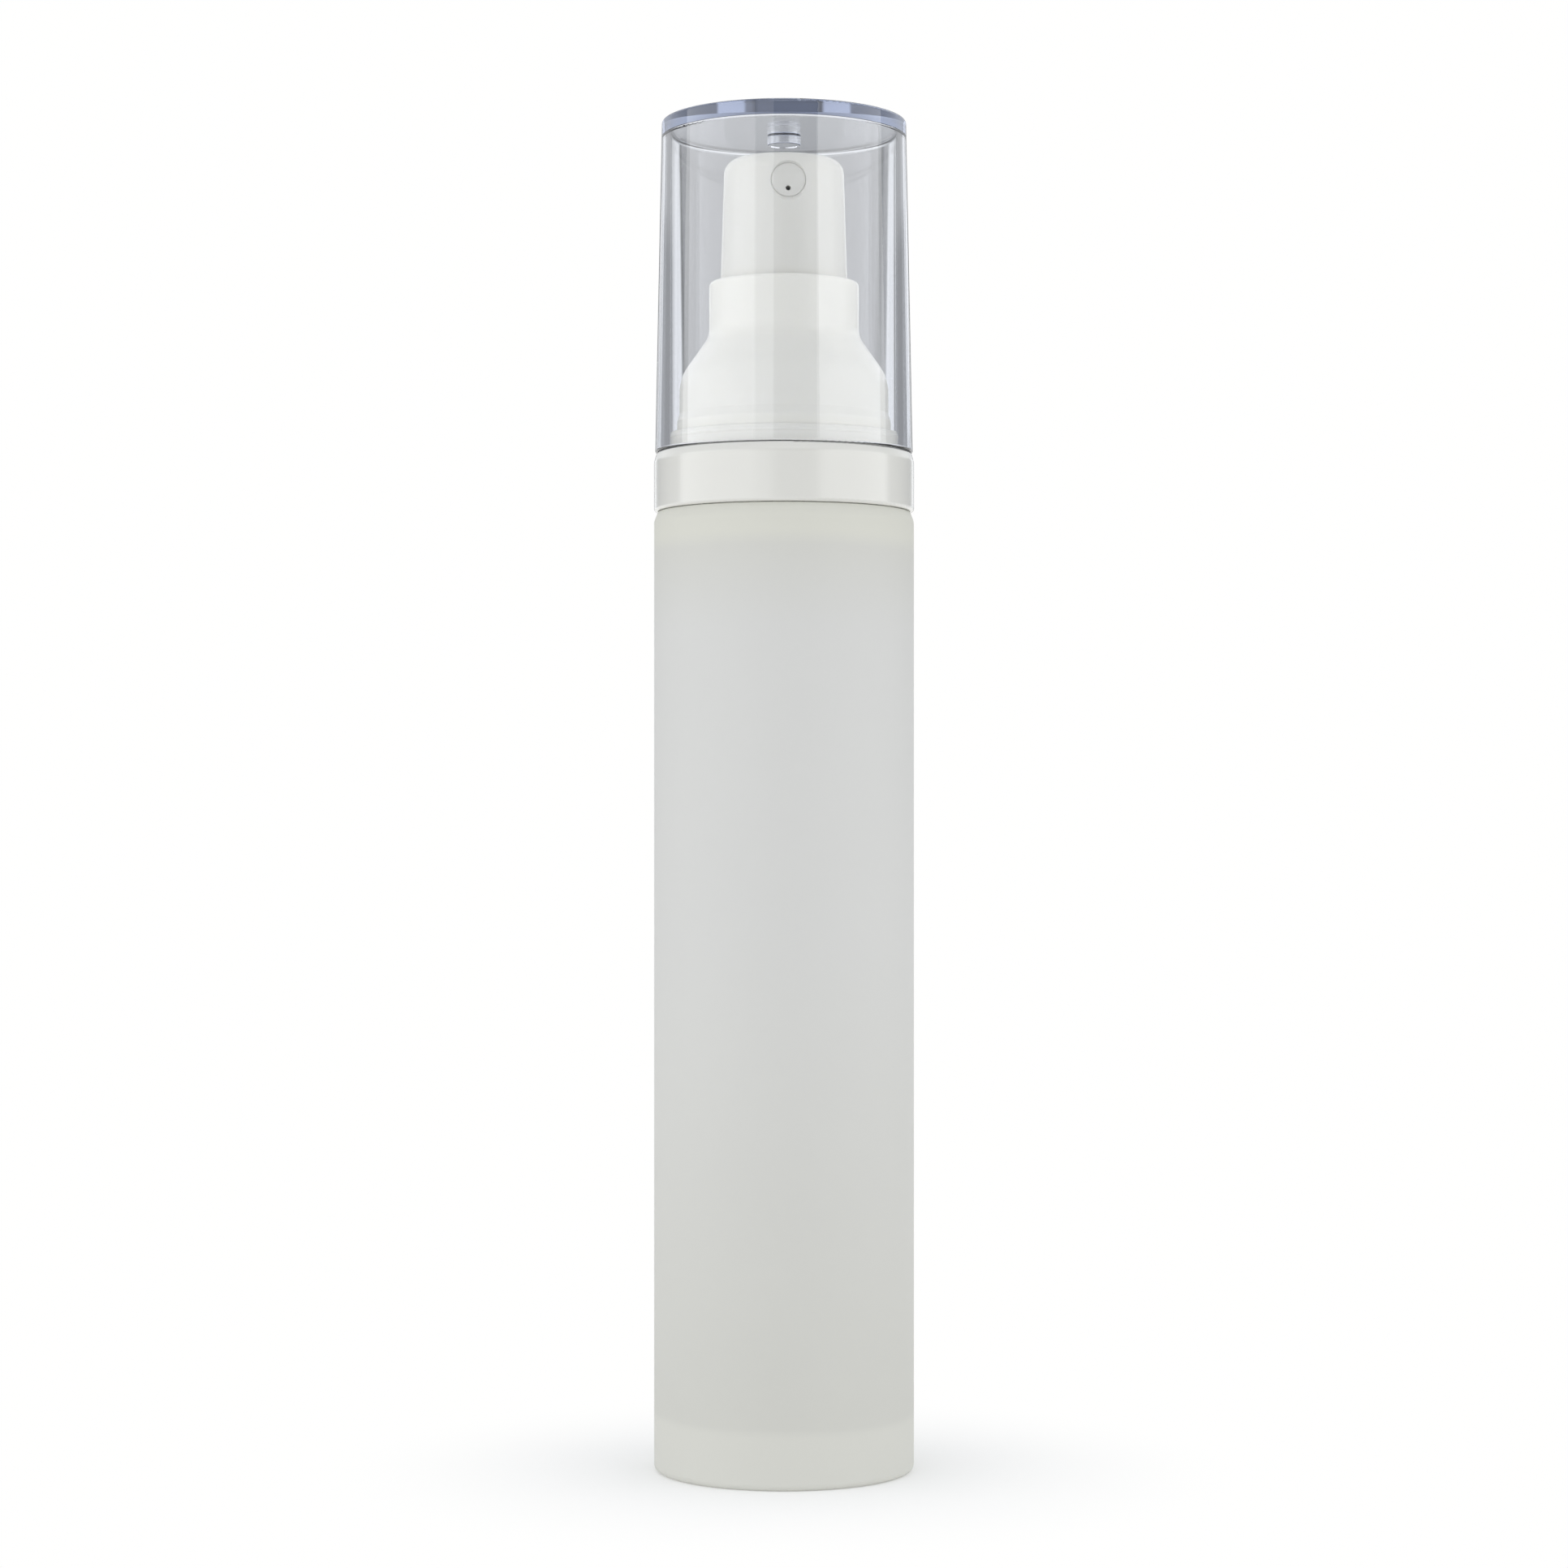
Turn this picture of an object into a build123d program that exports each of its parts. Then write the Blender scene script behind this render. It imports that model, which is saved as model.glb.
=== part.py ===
# Slim airless pump bottle with a clear overcap, in millimetres.
# The origin is the centre of the base, +Z is up and the nozzle faces -Y.
# Every sub-part is drawn where it sits when the bottle is closed, empty and standing.
from build123d import *
import os

os.makedirs("parts", exist_ok=True)

# ---- driving dimensions ----
BODY_R = 14.0  # outside of the bottle and of the collar ring
BORE_R = 12.75  # inside of the bottle
BODY_TOP = 103.0  # shoulder face of the bottle, where the collar starts
NECK_TOP = 106.6  # rim of the neck inside the collar
NECK_R = 11.2
NECK_BORE_R = 9.4
COLLAR_TOP = 109.3
COLLAR_GAP = 0.05  # between the bottle's shoulder and the collar
CAP_TOP = 145.1
ACTUATOR_TOP = 141.0
SLEEVE_TOP = 127.6
NOZZLE_Z = 137.7

# ---- fits ----
SLIDE_GAP = 0.06  # radial, between sliding pieces
SNAP_GAP = 0.05  # radial, between pieces that snap together
FACE_GAP = 0.02  # axial, between faces that meet

# ---- bottle body ----
FOOT_ROUND = 0.7
SHOULDER_THICK = 1.8
SHOULDER_EASE = (0.4, 1.0)  # how far the shoulder's edge draws in, and over what height
PLUG_GROOVE_Z = (3.5, 4.3)  # snap groove for the base plug

# ---- base plug and follower piston ----
PLUG_BOTTOM = 0.4
PLUG_TOP = 6.0
PLUG_WALL = 1.1
VENT_R = 0.6
FOLLOWER_H = 9.2
FOLLOWER_LIP_R = BORE_R - SLIDE_GAP
FOLLOWER_WAIST_R = 12.2

# ---- pump ----
PUMP_BORE_R = 4.0
PUMP_R = 5.1
PUMP_FLOOR = 93.0
HUB_R = 7.0
CAP_SEAT_R = 5.9  # counterbore that takes the housing cap
CAP_SEAT_Z = 104.6
RIM_R = 7.4  # rim of the housing above its flange
RIM_H = 2.0
FLANGE_R = 10.9
FLANGE_THICK = 1.0
GASKET_THICK = 0.6
GUIDE_BOTTOM = 101.8
GUIDE_TOP = 111.0
GUIDE_R = 7.2
SPRING_POCKET_R = (2.9, 4.4)  # inner and outer radius of the groove round the spring's foot
SPRING_SEAT = 107.0
STEM_R = 2.0
STEM_BORE_R = 1.0
STEM_BOTTOM = 102.6
STEM_TOP = 131.0
STEM_FLANGE_R = 4.3
STEM_FLANGE_Z = (121.6, 122.4)
ROD_R = 1.5
ROD_BORE_R = 0.6
ROD_FLANGE_R = 2.9
ROD_FLANGE_Z = (97.6, 98.4)
PISTON_H = 3.3
WIRE_R = 0.275
SPRING_R = 3.4
SPRING_TURNS = 7.5
BALL_R = 1.5
SEAT_FLANGE_R = 3.4
SEAT_BOTTOM = 86.2
SEAT_BORE_R = 2.6
PORT_R = 0.9  # hole through the inlet seat
BALL_CHAMBER_R = 1.9

# ---- collar and shoulder sleeve ----
COLLAR_WEB = 1.1
COLLAR_HOLE_R = 7.7
SPIGOT_R = 9.8  # upright ring that the sleeve snaps over
SPIGOT_H = 2.1
SPIGOT_BEAD = 0.25
SLEEVE_BORE_R = 10.15
SLEEVE_R = 11.25
SLEEVE_MOUTH_R = 8.05
SLEEVE_BAND_R = 11.5  # slightly wider band above the foot
SLEEVE_BAND_Z = (112.4, 113.3)  # where the band starts and ends drawing in
FOOT_R = 12.2  # foot that plugs into the overcap's mouth
FOOT_TOP = 111.3
GRIP_Z = 110.75  # low ridge round the foot that grips the overcap
GRIP_OUT = 0.08

# ---- actuator ----
BUTTON_TOP_R = 6.4
BUTTON_SKIRT_R = 7.04
BUTTON_BOTTOM = 120.4
BUTTON_WALL = 1.15
BUTTON_CEILING = 139.4
POST_R = 3.1
RUNNER_R = 1.15
INSERT_R = 1.8
INSERT_BACK = 4.9  # distance of the insert's back face from the axis
INSERT_FRONT = 6.18
DISH_R = 4.4  # ball radius of the shallow hollow in the insert's face
DISH_DEPTH = 0.3
ORIFICE_R = 0.27
ORIFICE_DROP = 0.85

# ---- overcap ----
CAP_BOTTOM = COLLAR_TOP + 0.1
CAP_BOTTOM_R = 13.87
CAP_TOP_R = 13.16
CAP_INNER_BOTTOM_R = 12.35
CAP_INNER_TOP_R = 12.2
CAP_CEILING = 143.6
CAP_LEAD_IN = (0.12, 0.3)  # width and height of the chamfer inside the mouth
GATE_R = 1.78  # moulding gate boss under the ceiling
GATE_H = 1.2


def turned(*corners):
    """Solid of revolution about Z. A corner is (radius, height) or (radius, height, rounding)."""
    points = [corner[:2] for corner in corners]
    roundings = [corner[2] if len(corner) > 2 else 0.0 for corner in corners]
    outline = Plane.XZ * FilletPolyline(*points, radius=roundings, close=True)
    return revolve(make_face(outline), Axis.Z)


def rod_along_y(radius, y_near, y_far, z):
    """Round bar parallel to Y between two distances in front of the axis."""
    start = Plane(origin=(0, -y_near, z), z_dir=(0, -1, 0))
    return extrude(start * Circle(radius), y_far - y_near)


def bottle_body():
    draw_in, ease_height = SHOULDER_EASE
    groove_low, groove_high = PLUG_GROOVE_Z
    groove_r = BORE_R + 0.25
    bead_r = NECK_R + 0.25
    bead_low, bead_high = 104.9, 105.6
    ceiling = BODY_TOP - SHOULDER_THICK
    return turned(
        (BORE_R, 0, 0.15),
        (BODY_R, 0, FOOT_ROUND),
        (BODY_R, BODY_TOP - ease_height, 1.2),
        (BODY_R - draw_in, BODY_TOP, 0.15),
        (NECK_R, BODY_TOP, 0.2),
        (NECK_R, bead_low),
        (bead_r, bead_low + 0.2),
        (bead_r, bead_high - 0.4),
        (NECK_R, bead_high),
        (NECK_R, NECK_TOP, 0.3),
        (NECK_BORE_R, NECK_TOP, 0.3),
        (NECK_BORE_R, ceiling, 0.4),
        (BORE_R, ceiling, 0.8),
        (BORE_R, groove_high),
        (groove_r, groove_high - 0.25),
        (groove_r, groove_low + 0.25),
        (BORE_R, groove_low),
    )


def base_plug():
    plug_r = BORE_R - SNAP_GAP
    bead_r = plug_r + 0.2
    groove_low, groove_high = PLUG_GROOVE_Z
    floor_top = PLUG_BOTTOM + 1.5
    hollow_r = plug_r - PLUG_WALL
    ring_groove = (8.0, 9.2, 0.35)  # inner radius, outer radius and depth
    disc = turned(
        (0, PLUG_BOTTOM),
        (plug_r, PLUG_BOTTOM, 0.2),
        (plug_r, groove_low + 0.1),
        (bead_r, groove_low + 0.3),
        (bead_r, groove_high - 0.3),
        (plug_r, groove_high - 0.1),
        (plug_r, PLUG_TOP, 0.3),
        (hollow_r, PLUG_TOP, 0.2),
        (hollow_r, floor_top, 0.4),
        (0, floor_top),
    )
    inner, outer, depth = ring_groove
    relief = turned(
        (inner, PLUG_BOTTOM - 1),
        (outer, PLUG_BOTTOM - 1),
        (outer, PLUG_BOTTOM + depth),
        (inner, PLUG_BOTTOM + depth),
    )
    vent = Pos(0, 0, PLUG_BOTTOM) * Cylinder(VENT_R, 8)
    return disc - relief - vent


def follower_piston():
    bottom = PLUG_TOP + 0.2
    top = bottom + FOLLOWER_H
    crown_top = top - 1.9
    crown_under = crown_top - 1.1
    waist = FOLLOWER_WAIST_R
    skirt_inner = waist - 1.0
    well_r = 4.0
    well_floor = bottom + 2.0
    return turned(
        (0, well_floor),
        (well_r, well_floor, 0.3),
        (well_r, crown_top, 0.3),
        (skirt_inner, crown_top, 0.3),
        (FOLLOWER_LIP_R - 0.5, top, 0.1),
        (FOLLOWER_LIP_R, top, 0.1),
        (FOLLOWER_LIP_R, top - 0.8, 0.2),
        (waist, top - 2.0, 0.3),
        (waist, bottom + 2.0, 0.3),
        (FOLLOWER_LIP_R, bottom + 0.8, 0.2),
        (FOLLOWER_LIP_R, bottom, 0.1),
        (FOLLOWER_LIP_R - 0.5, bottom, 0.1),
        (skirt_inner, bottom + 1.6, 0.3),
        (skirt_inner, crown_under, 0.4),
        (well_r + 1.0, crown_under, 0.3),
        (well_r + 1.0, well_floor - 1.0, 0.3),
        (0, well_floor - 1.0),
    )


def neck_gasket():
    return turned(
        (8.6, NECK_TOP),
        (10.8, NECK_TOP),
        (10.8, NECK_TOP + GASKET_THICK),
        (8.6, NECK_TOP + GASKET_THICK),
    )


def pump_housing():
    flange_bottom = NECK_TOP + GASKET_THICK
    flange_top = flange_bottom + FLANGE_THICK
    rim_top = flange_top + RIM_H
    hub_bottom = 100.8
    ball_roof = PUMP_FLOOR - 0.9
    throat_bottom = SEAT_BOTTOM + 1.0
    seat_bore_top = SEAT_BOTTOM + 2.6
    nose_r = 3.3
    shell = turned(
        (0, ball_roof),
        (BALL_CHAMBER_R, ball_roof, 0.2),
        (BALL_CHAMBER_R, seat_bore_top),
        (SEAT_BORE_R, seat_bore_top),
        (SEAT_BORE_R, throat_bottom),
        (nose_r, throat_bottom, 0.2),
        (nose_r, ball_roof - 0.6, 0.4),
        (PUMP_R, PUMP_FLOOR, 0.4),
        (PUMP_R, hub_bottom - 1.2, 0.4),
        (HUB_R, hub_bottom, 0.3),
        (HUB_R, flange_bottom, 0.3),
        (FLANGE_R, flange_bottom, 0.15),
        (FLANGE_R, flange_top, 0.15),
        (RIM_R, flange_top, 0.3),
        (RIM_R, rim_top, 0.2),
        (CAP_SEAT_R, rim_top, 0.1),
        (CAP_SEAT_R, CAP_SEAT_Z),
        (PUMP_BORE_R, CAP_SEAT_Z),
        (PUMP_BORE_R, PUMP_FLOOR, 0.3),
        (0, PUMP_FLOOR),
    )
    slot_z = (ball_roof + PUMP_FLOOR) / 2
    slot_width = 0.9
    slot = Box(2 * BALL_CHAMBER_R - 0.2, slot_width, 2)
    for angle in (0, 90):
        shell -= Pos(0, 0, slot_z) * Rot(0, 0, angle) * slot
    return shell


def inlet_seat():
    plug_r = SEAT_BORE_R - FACE_GAP
    flange_top = SEAT_BOTTOM + 1.0 - FACE_GAP
    seat_top = SEAT_BOTTOM + 2.4
    return turned(
        (PORT_R, SEAT_BOTTOM),
        (SEAT_FLANGE_R, SEAT_BOTTOM, 0.2),
        (SEAT_FLANGE_R, flange_top),
        (plug_r, flange_top),
        (plug_r, seat_top, 0.2),
        (PORT_R + 0.5, seat_top),
        (PORT_R, seat_top - 0.5),
    )


def inlet_ball():
    # the ball touches the seat's 45 degree cone half a side below its centre
    cone_low = SEAT_BOTTOM + 1.9
    contact_r = BALL_R * 0.5**0.5
    centre = cone_low + (contact_r - PORT_R) + contact_r + FACE_GAP
    return Pos(0, 0, centre) * Sphere(BALL_R)


def housing_cap():
    guide_r = STEM_R + SLIDE_GAP
    plug_r = CAP_SEAT_R - SNAP_GAP
    pump_plug_r = PUMP_BORE_R - SNAP_GAP
    step = CAP_SEAT_Z + FACE_GAP
    shoulder = NECK_TOP + GASKET_THICK + FLANGE_THICK + RIM_H + FACE_GAP
    pocket_inner, pocket_outer = SPRING_POCKET_R
    return turned(
        (guide_r, GUIDE_BOTTOM),
        (pump_plug_r, GUIDE_BOTTOM, 0.2),
        (pump_plug_r, step),
        (plug_r, step),
        (plug_r, shoulder),
        (GUIDE_R, shoulder),
        (GUIDE_R, GUIDE_TOP, 0.3),
        (pocket_outer, GUIDE_TOP, 0.3),
        (pocket_outer, SPRING_SEAT),
        (pocket_inner, SPRING_SEAT),
        (pocket_inner, GUIDE_TOP - 2.0, 0.2),
        (guide_r, GUIDE_TOP - 2.0, 0.2),
    )


def return_spring():
    seat = SPRING_SEAT + WIRE_R + FACE_GAP
    height = STEM_FLANGE_Z[0] - SPRING_SEAT - 2 * (WIRE_R + FACE_GAP)
    coil = Helix(pitch=height / SPRING_TURNS, height=height, radius=SPRING_R)
    wire = Plane(origin=coil @ 0, z_dir=coil % 0) * Circle(WIRE_R)
    return Pos(0, 0, seat) * sweep(wire, path=coil)


def piston_seal():
    bottom = ROD_FLANGE_Z[1] + FACE_GAP
    top = bottom + PISTON_H - FACE_GAP
    lip_r = PUMP_BORE_R - 0.03
    lip_tip = 0.15
    waist = 3.5
    bore_r = ROD_R + SLIDE_GAP
    hub_r = 2.95
    groove_r = 3.3
    groove_depth = 0.7
    return turned(
        (bore_r, bottom),
        (hub_r, bottom),
        (groove_r, bottom + groove_depth),
        (lip_r - lip_tip, bottom),
        (lip_r, bottom),
        (lip_r, bottom + 0.4),
        (waist, bottom + 1.1),
        (waist, top - 1.1),
        (lip_r, top - 0.4),
        (lip_r, top),
        (lip_r - lip_tip, top),
        (groove_r, top - groove_depth),
        (hub_r, top),
        (bore_r, top),
    )


def piston_rod():
    flange_low, flange_high = ROD_FLANGE_Z
    spigot_r = STEM_BORE_R - FACE_GAP
    spigot_top = STEM_BOTTOM + 2.4
    port_z = flange_high + 1.2
    shank = turned(
        (0, flange_low),
        (ROD_FLANGE_R, flange_low, 0.2),
        (ROD_FLANGE_R, flange_high),
        (ROD_R, flange_high),
        (ROD_R, STEM_BOTTOM - FACE_GAP),
        (spigot_r, STEM_BOTTOM - FACE_GAP),
        (spigot_r, spigot_top),
        (ROD_BORE_R, spigot_top),
        (ROD_BORE_R, port_z - 0.6),
        (0, port_z - 0.6),
    )
    port_r = 0.45
    port = Pos(0, 0, port_z) * Rot(0, 90, 0) * Cylinder(port_r, 2 * ROD_R + 1)
    return shank - port


def stem():
    flange_low, flange_high = STEM_FLANGE_Z
    return turned(
        (STEM_BORE_R, STEM_BOTTOM),
        (STEM_R, STEM_BOTTOM),
        (STEM_R, flange_low),
        (STEM_FLANGE_R, flange_low),
        (STEM_FLANGE_R, flange_high, 0.2),
        (STEM_R, flange_high),
        (STEM_R, STEM_TOP, 0.3),
        (STEM_BORE_R, STEM_TOP, 0.1),
    )


def collar_ring():
    bottom = BODY_TOP + COLLAR_GAP
    web_bottom = COLLAR_TOP - COLLAR_WEB
    skirt_bore_r = NECK_R + 0.35
    spigot_top = COLLAR_TOP + SPIGOT_H
    spigot_inner = SPIGOT_R - 0.8
    relief_r = (12.3, 12.95)
    ring = turned(
        (skirt_bore_r, bottom, 0.2),
        (BODY_R, bottom, 0.35),
        (BODY_R, COLLAR_TOP - 0.9, 1.2),
        (BODY_R - 0.25, COLLAR_TOP, 0.2),
        (SPIGOT_R, COLLAR_TOP),
        (SPIGOT_R, spigot_top - 0.7),
        (SPIGOT_R + SPIGOT_BEAD, spigot_top - 0.5),
        (SPIGOT_R + SPIGOT_BEAD, spigot_top, 0.15),
        (spigot_inner, spigot_top, 0.2),
        (spigot_inner, COLLAR_TOP),
        (COLLAR_HOLE_R, COLLAR_TOP, 0.2),
        (COLLAR_HOLE_R, web_bottom, 0.1),
        (skirt_bore_r, web_bottom),
    )
    inner, outer = relief_r
    relief = turned(
        (inner, bottom - 1),
        (outer, bottom - 1),
        (outer, web_bottom - 0.4, 0.3),
        (inner, web_bottom - 0.4, 0.3),
    )
    return ring - relief


def shoulder_sleeve():
    bore_low = SLEEVE_BORE_R
    bore_high = 7.1
    catch_r = bore_low - 0.3
    bottom = COLLAR_TOP + FACE_GAP
    grip_r = FOOT_R + GRIP_OUT
    band_top, band_end = SLEEVE_BAND_Z
    return turned(
        (catch_r, bottom, 0.1),
        (FOOT_R, bottom, 0.15),
        (FOOT_R, GRIP_Z - 0.25),
        (grip_r, GRIP_Z - 0.1),
        (grip_r, GRIP_Z + 0.1),
        (FOOT_R, GRIP_Z + 0.25),
        (FOOT_R, FOOT_TOP, 0.25),
        (SLEEVE_BAND_R, FOOT_TOP, 0.15),
        (SLEEVE_BAND_R, band_top, 0.4),
        (SLEEVE_R, band_end, 0.4),
        (SLEEVE_R, 117.15, 5.0),
        (SLEEVE_MOUTH_R, 121.75, 2.4),
        (SLEEVE_MOUTH_R, SLEEVE_TOP, 0.5),
        (bore_high, SLEEVE_TOP, 0.3),
        (bore_high, 121.3, 1.6),
        (bore_low, 116.9, 4.0),
        (bore_low, bottom + 1.2),
        (catch_r, bottom + 1.0),
    )


def actuator_shell():
    skirt_bore_r = BUTTON_SKIRT_R - BUTTON_WALL
    top_bore_r = BUTTON_TOP_R - BUTTON_WALL
    return turned(
        (0, ACTUATOR_TOP),
        (3.6, ACTUATOR_TOP - 0.05, 3.0),
        (BUTTON_TOP_R, ACTUATOR_TOP - 0.3, 1.6),
        (BUTTON_SKIRT_R, BUTTON_BOTTOM, 0.25),
        (skirt_bore_r, BUTTON_BOTTOM, 0.25),
        (top_bore_r, BUTTON_CEILING, 1.0),
        (0, BUTTON_CEILING),
    )


def actuator():
    post_bottom = STEM_FLANGE_Z[1] + FACE_GAP
    post_height = BUTTON_CEILING - post_bottom
    post = Pos(0, 0, post_bottom + post_height / 2) * Cylinder(POST_R, post_height)
    runner_boss = rod_along_y(INSERT_R + 0.9, 0, 5.6, NOZZLE_Z)
    button = actuator_shell() + post + runner_boss
    rib_bottom = 130.0
    rib_height = BUTTON_CEILING - rib_bottom
    rib_length = BUTTON_TOP_R - BUTTON_WALL + 0.4
    rib_width = 0.8
    rib = Pos(rib_length / 2, 0, rib_bottom + rib_height / 2) * Box(rib_length, rib_width, rib_height)
    for angle in (0, 90, 180):
        button += Rot(0, 0, angle) * rib
    socket_depth = STEM_TOP + FACE_GAP - post_bottom
    socket = Pos(0, 0, post_bottom + socket_depth / 2) * Cylinder(STEM_R + 0.03, socket_depth)
    riser_height = NOZZLE_Z - STEM_TOP
    riser_r = 0.9
    riser = Pos(0, 0, STEM_TOP + riser_height / 2) * Cylinder(riser_r, riser_height)
    runner = rod_along_y(RUNNER_R, -0.6, INSERT_BACK + 0.5, NOZZLE_Z)
    insert_seat = rod_along_y(INSERT_R + FACE_GAP, INSERT_BACK - FACE_GAP, 8.0, NOZZLE_Z)
    bevel_depth = 0.6
    bevel = Rot(90, 0, 0) * Cone(INSERT_R, INSERT_R + bevel_depth, bevel_depth)
    bevel = Pos(0, -(INSERT_FRONT - 0.05 + bevel_depth / 2), NOZZLE_Z) * bevel
    return button - socket - riser - runner - insert_seat - bevel


def nozzle_insert():
    disc = rod_along_y(INSERT_R, INSERT_BACK, INSERT_FRONT, NOZZLE_Z)
    disc = fillet(disc.edges().group_by(Axis.Y)[0], 0.08)
    dish = Pos(0, -(INSERT_FRONT - DISH_DEPTH + DISH_R), NOZZLE_Z) * Sphere(DISH_R)
    orifice = rod_along_y(ORIFICE_R, INSERT_BACK - 1, INSERT_FRONT + 1, NOZZLE_Z - ORIFICE_DROP)
    return disc - dish - orifice


def overcap():
    lead_width, lead_height = CAP_LEAD_IN
    shell = turned(
        (CAP_INNER_BOTTOM_R + lead_width, CAP_BOTTOM),
        (CAP_BOTTOM_R, CAP_BOTTOM, 0.25),
        (CAP_TOP_R, CAP_TOP, 0.3),
        (0, CAP_TOP),
        (0, CAP_CEILING),
        (CAP_INNER_TOP_R, CAP_CEILING, 0.4),
        (CAP_INNER_BOTTOM_R, CAP_BOTTOM + lead_height),
    )
    gate_bottom = CAP_CEILING - GATE_H
    inside_ceiling = CAP_CEILING + 0.3
    gate_boss = turned(
        (0, gate_bottom),
        (GATE_R, gate_bottom, 0.12),
        (GATE_R, inside_ceiling),
        (0, inside_ceiling),
    )
    return shell + gate_boss


PARTS = {
    "bottle_body": bottle_body,
    "base_plug": base_plug,
    "follower_piston": follower_piston,
    "neck_gasket": neck_gasket,
    "pump_housing": pump_housing,
    "inlet_seat": inlet_seat,
    "inlet_ball": inlet_ball,
    "housing_cap": housing_cap,
    "return_spring": return_spring,
    "piston_seal": piston_seal,
    "piston_rod": piston_rod,
    "stem": stem,
    "collar_ring": collar_ring,
    "shoulder_sleeve": shoulder_sleeve,
    "actuator": actuator,
    "nozzle_insert": nozzle_insert,
    "overcap": overcap,
}

for node, build in PARTS.items():
    export_step(build(), f"parts/{node}.step")
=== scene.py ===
"""Looks of the slim airless pump bottle: materials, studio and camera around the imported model, in metres."""
import math

import bpy
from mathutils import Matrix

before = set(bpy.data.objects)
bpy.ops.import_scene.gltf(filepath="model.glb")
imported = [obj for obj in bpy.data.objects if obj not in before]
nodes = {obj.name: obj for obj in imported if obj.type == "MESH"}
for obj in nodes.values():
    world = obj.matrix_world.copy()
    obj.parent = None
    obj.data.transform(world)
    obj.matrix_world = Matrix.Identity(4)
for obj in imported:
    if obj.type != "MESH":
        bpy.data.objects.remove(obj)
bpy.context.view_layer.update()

# ---- camera ----
CAMERA_DISTANCE = 0.386  # from the bottle's axis
CAMERA_HEIGHT = 0.0682
CAMERA_TURN = math.radians(-4.3)  # the nozzle points a little to the camera's right
LENS = 82.2
SHIFT_Y = 0.0331


def add_camera():
    data = bpy.data.cameras.new("camera")
    data.lens = LENS
    data.sensor_width = 36
    data.shift_y = SHIFT_Y
    data.clip_start = 0.01
    camera = bpy.data.objects.new("camera", data)
    bpy.context.scene.collection.objects.link(camera)
    x = CAMERA_DISTANCE * math.sin(CAMERA_TURN)
    y = -CAMERA_DISTANCE * math.cos(CAMERA_TURN)
    camera.location = (x, y, CAMERA_HEIGHT)
    camera.rotation_euler = (math.radians(90), 0, CAMERA_TURN)
    bpy.context.scene.camera = camera


# ---- materials ----
def new_material(name):
    material = bpy.data.materials.new(name)
    material.use_nodes = True
    tree = material.node_tree
    return material, tree, tree.nodes["Principled BSDF"]


def noise(tree, scale, detail=3.0, roughness=0.5):
    where = tree.nodes.new("ShaderNodeTexCoord")
    node = tree.nodes.new("ShaderNodeTexNoise")
    node.inputs["Scale"].default_value = scale
    node.inputs["Detail"].default_value = detail
    node.inputs["Roughness"].default_value = roughness
    tree.links.new(where.outputs["Object"], node.inputs["Vector"])
    return node.outputs["Fac"]


def fill_ramp(node, stops):
    """Sets a colour ramp's stops from (position, (r, g, b))."""
    elements = node.color_ramp.elements
    while len(elements) < len(stops):
        elements.new(1.0)
    for element, (position, colour) in zip(elements, stops):
        element.position = position
        element.color = (*colour, 1)


def ramp(tree, source, stops):
    node = tree.nodes.new("ShaderNodeValToRGB")
    fill_ramp(node, stops)
    tree.links.new(source, node.inputs["Fac"])
    return node.outputs["Color"]


def value_range(tree, source, low, high):
    node = tree.nodes.new("ShaderNodeMapRange")
    node.inputs["To Min"].default_value = low
    node.inputs["To Max"].default_value = high
    tree.links.new(source, node.inputs["Value"])
    return node.outputs["Result"]


def bump(tree, height, strength, distance):
    node = tree.nodes.new("ShaderNodeBump")
    node.inputs["Strength"].default_value = strength
    node.inputs["Distance"].default_value = distance
    tree.links.new(height, node.inputs["Height"])
    return node.outputs["Normal"]


def math_node(tree, operation, *values):
    """Math node; each value is a number or another node's output."""
    node = tree.nodes.new("ShaderNodeMath")
    node.operation = operation
    for socket, value in zip(node.inputs, values):
        if isinstance(value, (int, float)):
            socket.default_value = value
        else:
            tree.links.new(value, socket)
    return node.outputs["Value"]


def smooth_step(tree, source, start, end):
    node = tree.nodes.new("ShaderNodeMapRange")
    node.interpolation_type = "SMOOTHSTEP"
    node.inputs["From Min"].default_value = start
    node.inputs["From Max"].default_value = end
    tree.links.new(source, node.inputs["Value"])
    return node.outputs["Result"]


def blend(tree, factor, first, second):
    """first where factor is 0 and second where it is 1."""
    change = math_node(tree, "SUBTRACT", second, first)
    return math_node(tree, "ADD", first, math_node(tree, "MULTIPLY", factor, change))


def mix_shaders(tree, factor, first, second):
    node = tree.nodes.new("ShaderNodeMixShader")
    if isinstance(factor, float):
        node.inputs["Fac"].default_value = factor
    else:
        tree.links.new(factor, node.inputs["Fac"])
    tree.links.new(first, node.inputs[1])
    tree.links.new(second, node.inputs[2])
    return node.outputs["Shader"]


def moulded_plastic(name, pale, shade, rough, subsurface, coat):
    """Opaque moulded plastic: faint flow clouding, fine satin grain and an uneven gloss."""
    material, tree, surface = new_material(name)
    link = tree.links.new
    cloud = noise(tree, 60, 4)
    link(ramp(tree, cloud, ((0.35, shade), (0.65, pale))), surface.inputs["Base Color"])
    link(value_range(tree, noise(tree, 400), rough * 0.85, rough * 1.15), surface.inputs["Roughness"])
    link(bump(tree, noise(tree, 3000, 2), 0.02, 0.0001), surface.inputs["Normal"])
    surface.inputs["IOR"].default_value = 1.49
    surface.inputs["Subsurface Weight"].default_value = subsurface
    surface.inputs["Subsurface Radius"].default_value = (0.002, 0.002, 0.0018)
    surface.inputs["Subsurface Scale"].default_value = 1.0
    surface.inputs["Coat Weight"].default_value = coat
    surface.inputs["Coat Roughness"].default_value = 0.2
    return material


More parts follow.
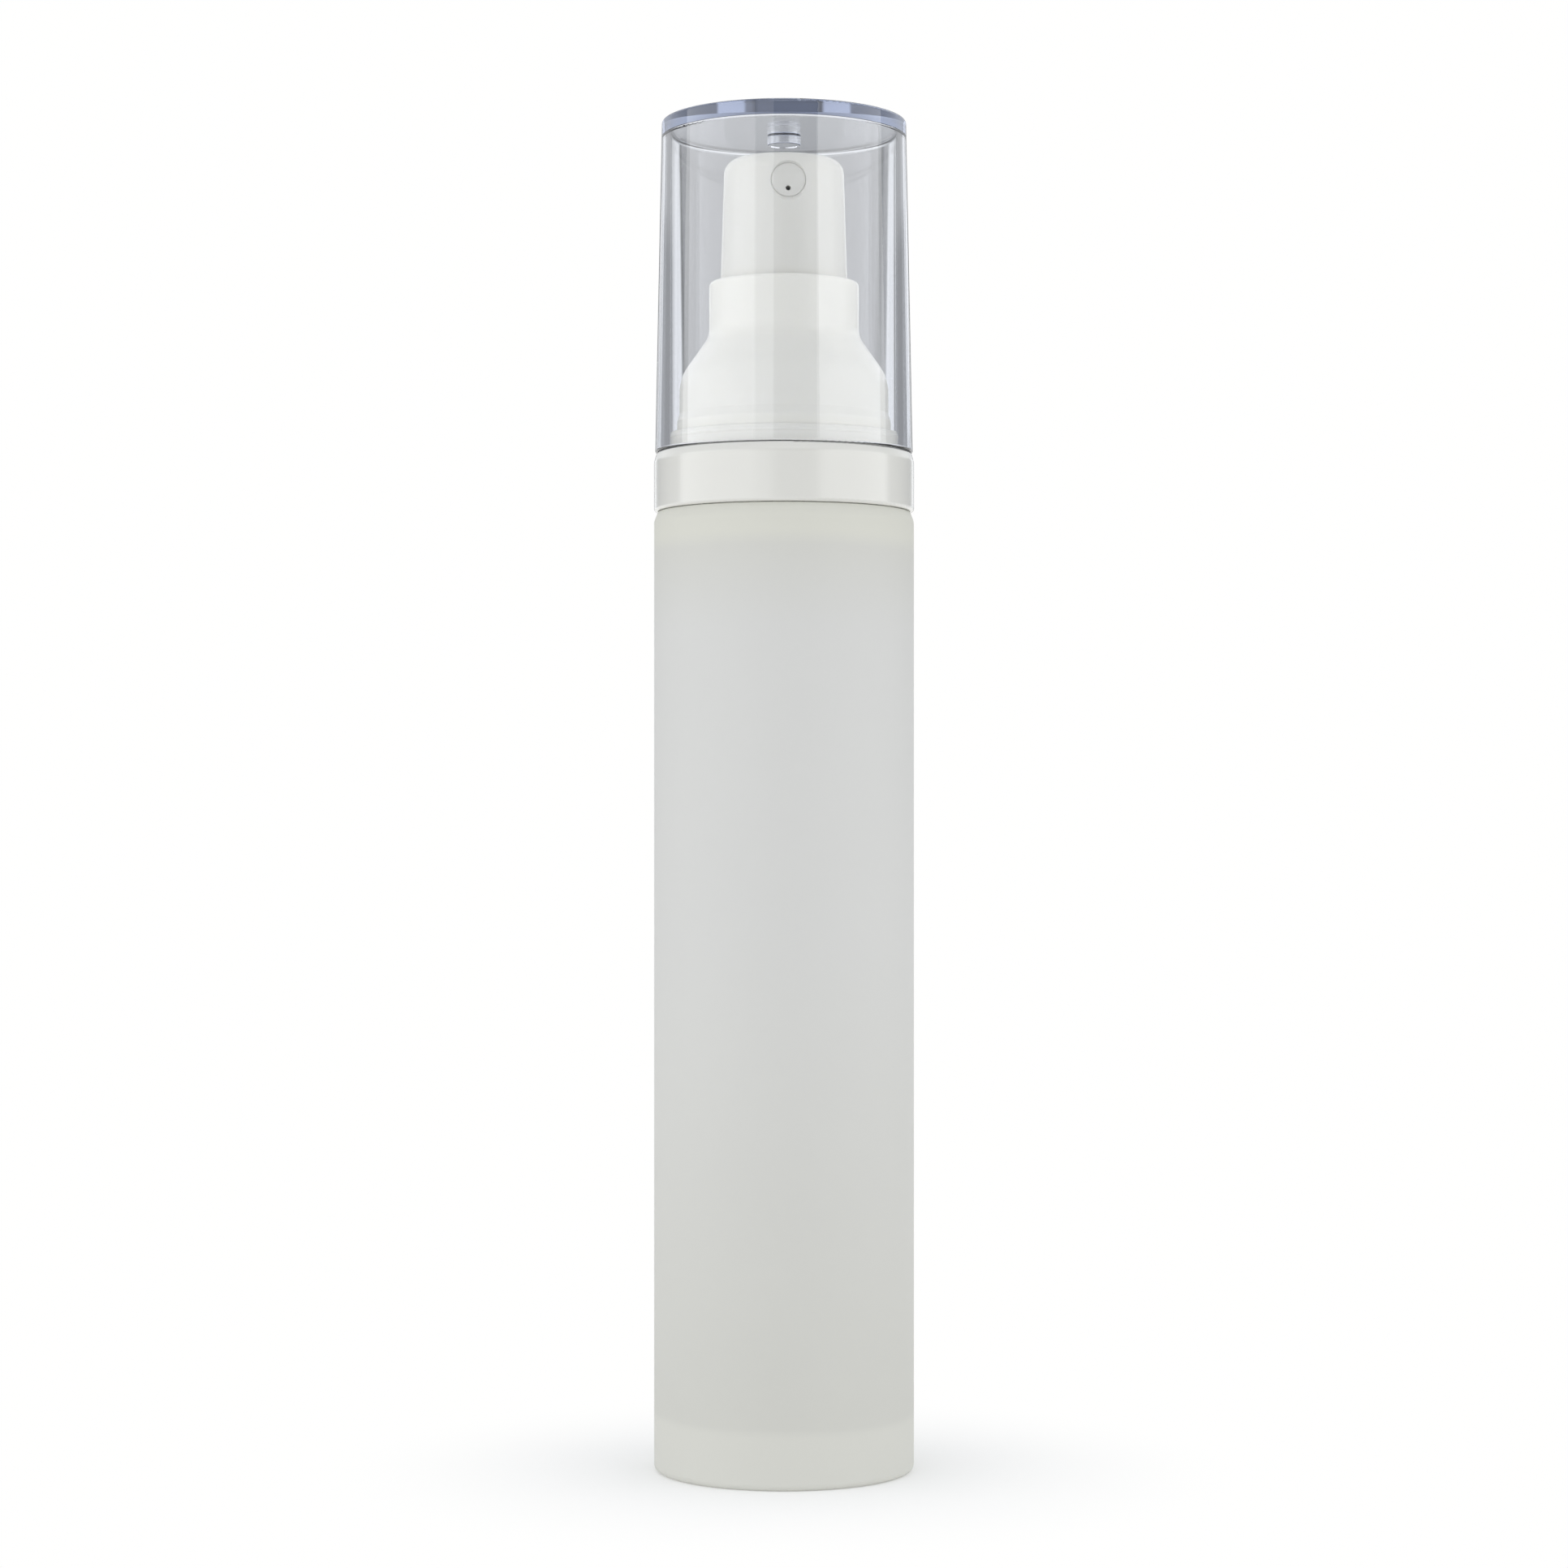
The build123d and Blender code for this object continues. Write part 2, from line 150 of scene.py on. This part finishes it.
def clear_plastic():
    """Clear, faintly blue plastic that absorbs light with depth.

    Lamps also shine straight through it, on top of the light that it bends, so what stands inside is lit
    evenly and a little more brightly than in a real cap.
    """
    material, tree, surface = new_material("clear_cap")
    link = tree.links.new
    output = tree.nodes["Material Output"]
    surface.inputs["Base Color"].default_value = (1, 1, 1, 1)
    surface.inputs["Transmission Weight"].default_value = 1.0
    surface.inputs["IOR"].default_value = 1.57
    link(value_range(tree, noise(tree, 120), 0.0, 0.012), surface.inputs["Roughness"])
    straight = tree.nodes.new("ShaderNodeBsdfTransparent")
    straight.inputs["Color"].default_value = (0.95, 0.95, 0.95, 1)
    ray = tree.nodes.new("ShaderNodeLightPath")
    mixed = mix_shaders(tree, ray.outputs["Is Shadow Ray"], surface.outputs["BSDF"], straight.outputs["BSDF"])
    link(mixed, output.inputs["Surface"])
    absorb = tree.nodes.new("ShaderNodeVolumeAbsorption")
    absorb.inputs["Color"].default_value = (0.80, 0.825, 0.885, 1)
    absorb.inputs["Density"].default_value = 200.0
    link(absorb.outputs["Volume"], output.inputs["Volume"])
    return material


# Colour of the frosted wall by height in metres. The foot is paler, where the base plug backs the wall.
# Above it, painted shade deepens the tone slowly towards the foot and just under the shoulder,
# and a painted highlight makes a paler band right under the collar seam.
FROSTED_WITH_PAINTED_SHADE = (
    (0.0000, (0.790, 0.788, 0.740)),
    (0.0058, (0.790, 0.788, 0.740)),
    (0.0065, (0.735, 0.734, 0.693)),
    (0.0580, (0.772, 0.773, 0.764)),
    (0.0900, (0.772, 0.774, 0.766)),
    (0.0985, (0.740, 0.740, 0.708)),
    (0.1000, (0.800, 0.800, 0.735)),
)
SHOULDER_HEIGHT = 0.103
WAVER = 0.0012  # how far the bands of painted shade wander up and down
CLOUDED = 0.985  # shade of the cloudier patches
PASSES = 0.3  # share of the light that passes through the wall


def frosted_plastic():
    """Frosted, light-passing plastic, with painted shade and a painted highlight that drift along the bottle.
    """
    material, tree, surface = new_material("frosted_pp")
    link = tree.links.new
    where = tree.nodes.new("ShaderNodeTexCoord")
    split = tree.nodes.new("ShaderNodeSeparateXYZ")
    link(where.outputs["Object"], split.inputs["Vector"])
    drift = math_node(tree, "MULTIPLY", math_node(tree, "SUBTRACT", noise(tree, 30, 2), 0.5), WAVER)
    height = math_node(tree, "DIVIDE", math_node(tree, "ADD", split.outputs["Z"], drift), SHOULDER_HEIGHT)
    # Ramp by height: the wall's colour with its painted shade and painted highlight.
    shade = ramp(tree, height, [(metres / SHOULDER_HEIGHT, colour) for metres, colour in FROSTED_WITH_PAINTED_SHADE])
    cloud = ramp(tree, noise(tree, 45, 4), ((0.3, (CLOUDED,) * 3), (0.7, (1.0,) * 3)))
    tint = tree.nodes.new("ShaderNodeMix")
    tint.data_type = "RGBA"
    tint.blend_type = "MULTIPLY"
    tint.inputs["Factor"].default_value = 1.0
    link(shade, tint.inputs["A"])
    link(cloud, tint.inputs["B"])
    link(tint.outputs["Result"], surface.inputs["Base Color"])
    link(value_range(tree, noise(tree, 300), 0.42, 0.52), surface.inputs["Roughness"])
    link(bump(tree, noise(tree, 5000, 2), 0.04, 0.0001), surface.inputs["Normal"])
    surface.inputs["IOR"].default_value = 1.49
    surface.inputs["Specular IOR Level"].default_value = 0.3
    through = tree.nodes.new("ShaderNodeBsdfTranslucent")
    through.inputs["Color"].default_value = (0.90, 0.91, 0.88, 1)
    mixed = mix_shaders(tree, PASSES, surface.outputs["BSDF"], through.outputs["BSDF"])
    link(mixed, tree.nodes["Material Output"].inputs["Surface"])
    return material


def metal(name, tint, rough):
    material, tree, surface = new_material(name)
    link = tree.links.new
    worn = tuple(0.9 * c for c in tint)
    link(ramp(tree, noise(tree, 900), ((0.3, tint), (0.7, worn))), surface.inputs["Base Color"])
    link(value_range(tree, noise(tree, 2500), rough * 0.7, rough * 1.3), surface.inputs["Roughness"])
    surface.inputs["Metallic"].default_value = 1.0
    return material


def assign(material, *names):
    for name in names:
        data = nodes[name].data
        data.materials.clear()
        data.materials.append(material)


# Opaque plastics: (name, pale colour, colour of its clouding, roughness, subsurface, coat, nodes).
MOULDED = (
    (
        "white_pp", (0.915, 0.90, 0.82), (0.905, 0.89, 0.81), 0.24, 0.2, 0.0,
        ("shoulder_sleeve", "base_plug", "housing_cap", "stem", "piston_rod"),
    ),
    # The actuator and nozzle insert wear the white plastic painted darker: painted shade against the stronger
    # light from above.
    ("button_pp", (0.775, 0.765, 0.71), (0.765, 0.755, 0.70), 0.24, 0.2, 0.0, ("actuator", "nozzle_insert")),
    ("collar_pp", (0.63, 0.63, 0.60), (0.62, 0.62, 0.59), 0.2, 0.2, 1.0, ("collar_ring",)),
    (
        "natural_pe", (0.80, 0.80, 0.77), (0.77, 0.77, 0.74), 0.4, 0.3, 0.0,
        ("follower_piston", "pump_housing", "inlet_seat", "piston_seal"),
    ),
    ("soft_gasket", (0.72, 0.72, 0.70), (0.69, 0.69, 0.67), 0.6, 0.0, 0.0, ("neck_gasket",)),
)


def dress_nodes():
    for name, pale, shade, rough, subsurface, coat, wearers in MOULDED:
        assign(moulded_plastic(name, pale, shade, rough, subsurface, coat), *wearers)
    assign(metal("spring_steel", (0.62, 0.62, 0.60), 0.25), "return_spring")
    assign(metal("steel_ball", (0.72, 0.72, 0.72), 0.08), "inlet_ball")
    assign(frosted_plastic(), "bottle_body")
    assign(clear_plastic(), "overcap")


# ---- studio ----
SOFTBOX_DISTANCE = 0.9  # from the bottle's axis
SOFTBOX_HEIGHT = 0.12
SOFTBOX_TALL = 0.9
# Lamps: (name, near edge and far edge in degrees to the right of the camera, brightness).
SOFTBOXES = (
    ("softbox_left", -27, -103, 1.45),
    ("softbox_right", 31.5, 103, 1.45),
    ("fill_left", -9.5, -27, 0.75),
)
WHITE = (1.0, 1.0, 0.995, 1)
OVERHEAD = 0.95
TABLE = 0.95
ROOM_TINT = (0.965, 0.985, 1.01, 1)
# Heights at which the room's light changes over, as the upward part of a direction of length 1: (start, end).
ABOVE_EYE_LEVEL = (0.172, 0.190)
ONTO_THE_CARD = (0.16, 0.10)
TO_OVERHEAD = (0.35, 0.60)
TO_THE_TABLE = (-0.25, -0.40)
GAP = 0.3  # between the softboxes, round the camera
FLOOR_FADE = 0.05  # distance over which the floor brightens to white
# Brightness of the room by direction: (degrees to the right of straight behind the bottle, brightness).
# A grey backdrop hangs behind the bottle between two white strips. The room is darker beyond them.
AT_EYE_LEVEL = (
    (-180, GAP), (-110, GAP), (-70, 0.5), (-50, 0.36), (-24.5, 0.36), (-24, 1.1), (-13.3, 1.1),
    (-13.1, 0.1), (-12.3, 0.1), (-12.1, 0.32), (-8, 0.36), (9.0, 0.36), (9.2, 0.15), (9.8, 0.15),
    (10.0, 0.4), (13.2, 0.4), (13.5, 1.15), (24, 1.15), (24.5, 0.34), (50, 0.34), (70, 0.5),
    (110, GAP), (180, GAP),
)
HIGHER_UP = ((-180, GAP), (-110, GAP), (-40, 1.0), (-6, 0.5), (6, 0.5), (40, 1.0), (110, GAP), (180, GAP))
LOW_CARD = 0.95  # pale card under the camera
LOWER_DOWN = ((-180, LOW_CARD), (-150, LOW_CARD), (-149, 0.0), (146, 0.0), (147, LOW_CARD), (180, LOW_CARD))


def pale_floor():
    """A pale disc that brightens into the white surroundings away from the bottle."""
    material, tree, surface = new_material("pale_floor")
    pale = ramp(tree, noise(tree, 8), ((0.3, (0.93, 0.93, 0.925)), (0.7, (0.95, 0.95, 0.945))))
    tree.links.new(pale, surface.inputs["Base Color"])
    surface.inputs["Roughness"].default_value = 0.8
    where = tree.nodes.new("ShaderNodeTexCoord")
    distance = tree.nodes.new("ShaderNodeVectorMath")
    distance.operation = "LENGTH"
    tree.links.new(where.outputs["Object"], distance.inputs[0])
    glow = tree.nodes.new("ShaderNodeEmission")
    glow.inputs["Color"].default_value = WHITE
    fade = smooth_step(tree, distance.outputs["Value"], 0.0, FLOOR_FADE)
    mixed = mix_shaders(tree, fade, surface.outputs["BSDF"], glow.outputs["Emission"])
    tree.links.new(mixed, tree.nodes["Material Output"].inputs["Surface"])

    radius, sides = 6.0, 96
    mesh = bpy.data.meshes.new("floor")
    turns = [2 * math.pi * i / sides for i in range(sides)]
    rim = [(radius * math.cos(turn), radius * math.sin(turn), 0) for turn in turns]
    mesh.from_pydata(rim, [], [range(sides)])
    mesh.materials.append(material)
    floor = bpy.data.objects.new("floor", mesh)
    bpy.context.scene.collection.objects.link(floor)
    floor.visible_transmission = False


def softbox(name, near_edge, far_edge, brightness):
    """Area light that covers a range of angles round the bottle, counted from the camera in degrees."""
    middle = math.radians((near_edge + far_edge) / 2)
    half_angle = math.radians(abs(far_edge - near_edge) / 2)
    data = bpy.data.lights.new(name, "AREA")
    data.shape = "RECTANGLE"
    data.size = 2 * SOFTBOX_DISTANCE * math.tan(half_angle)
    data.size_y = SOFTBOX_TALL
    data.energy = brightness * math.pi * data.size * data.size_y
    light = bpy.data.objects.new(name, data)
    bpy.context.scene.collection.objects.link(light)
    turn = CAMERA_TURN + middle
    light.location = (SOFTBOX_DISTANCE * math.sin(turn), -SOFTBOX_DISTANCE * math.cos(turn), SOFTBOX_HEIGHT)
    light.rotation_euler = (math.radians(90), 0, turn)


def brightness_around(tree, around, stops):
    return ramp(tree, around, [(degrees / 360 + 0.5, (brightness,) * 3) for degrees, brightness in stops])


def room_light():
    """Plain white to the camera. As light, a studio with a grey backdrop, pale walls, ceiling and table."""
    world = bpy.data.worlds.new("world")
    world.use_nodes = True
    tree = world.node_tree
    where = tree.nodes.new("ShaderNodeTexCoord")
    turned = tree.nodes.new("ShaderNodeVectorRotate")
    turned.rotation_type = "Z_AXIS"
    turned.inputs["Angle"].default_value = -CAMERA_TURN
    tree.links.new(where.outputs["Generated"], turned.inputs["Vector"])
    split = tree.nodes.new("ShaderNodeSeparateXYZ")
    tree.links.new(turned.outputs["Vector"], split.inputs["Vector"])
    angle = math_node(tree, "ARCTAN2", split.outputs["X"], split.outputs["Y"])
    around = math_node(tree, "ADD", math_node(tree, "DIVIDE", angle, 2 * math.pi), 0.5)
    height = split.outputs["Z"]
    light = blend(
        tree,
        smooth_step(tree, math_node(tree, "ABSOLUTE", height), *ABOVE_EYE_LEVEL),
        brightness_around(tree, around, AT_EYE_LEVEL),
        brightness_around(tree, around, HIGHER_UP),
    )
    card = brightness_around(tree, around, LOWER_DOWN)
    card = math_node(tree, "MULTIPLY", card, smooth_step(tree, height, *ONTO_THE_CARD))
    light = math_node(tree, "MAXIMUM", light, card)
    light = blend(tree, smooth_step(tree, height, *TO_OVERHEAD), light, OVERHEAD)
    light = blend(tree, smooth_step(tree, height, *TO_THE_TABLE), light, TABLE)
    room = tree.nodes["Background"]
    room.inputs["Color"].default_value = ROOM_TINT
    tree.links.new(light, room.inputs["Strength"])
    white = tree.nodes.new("ShaderNodeBackground")
    white.inputs["Color"].default_value = WHITE
    ray = tree.nodes.new("ShaderNodeLightPath")
    is_camera = ray.outputs["Is Camera Ray"]
    mixed = mix_shaders(tree, is_camera, room.outputs["Background"], white.outputs["Background"])
    tree.links.new(mixed, tree.nodes["World Output"].inputs["Surface"])
    bpy.context.scene.world = world


def light_studio():
    room_light()
    for name, near_edge, far_edge, brightness in SOFTBOXES:
        softbox(name, near_edge, far_edge, brightness)
    bpy.context.scene.view_settings.view_transform = "Standard"


add_camera()
dress_nodes()
pale_floor()
light_studio()
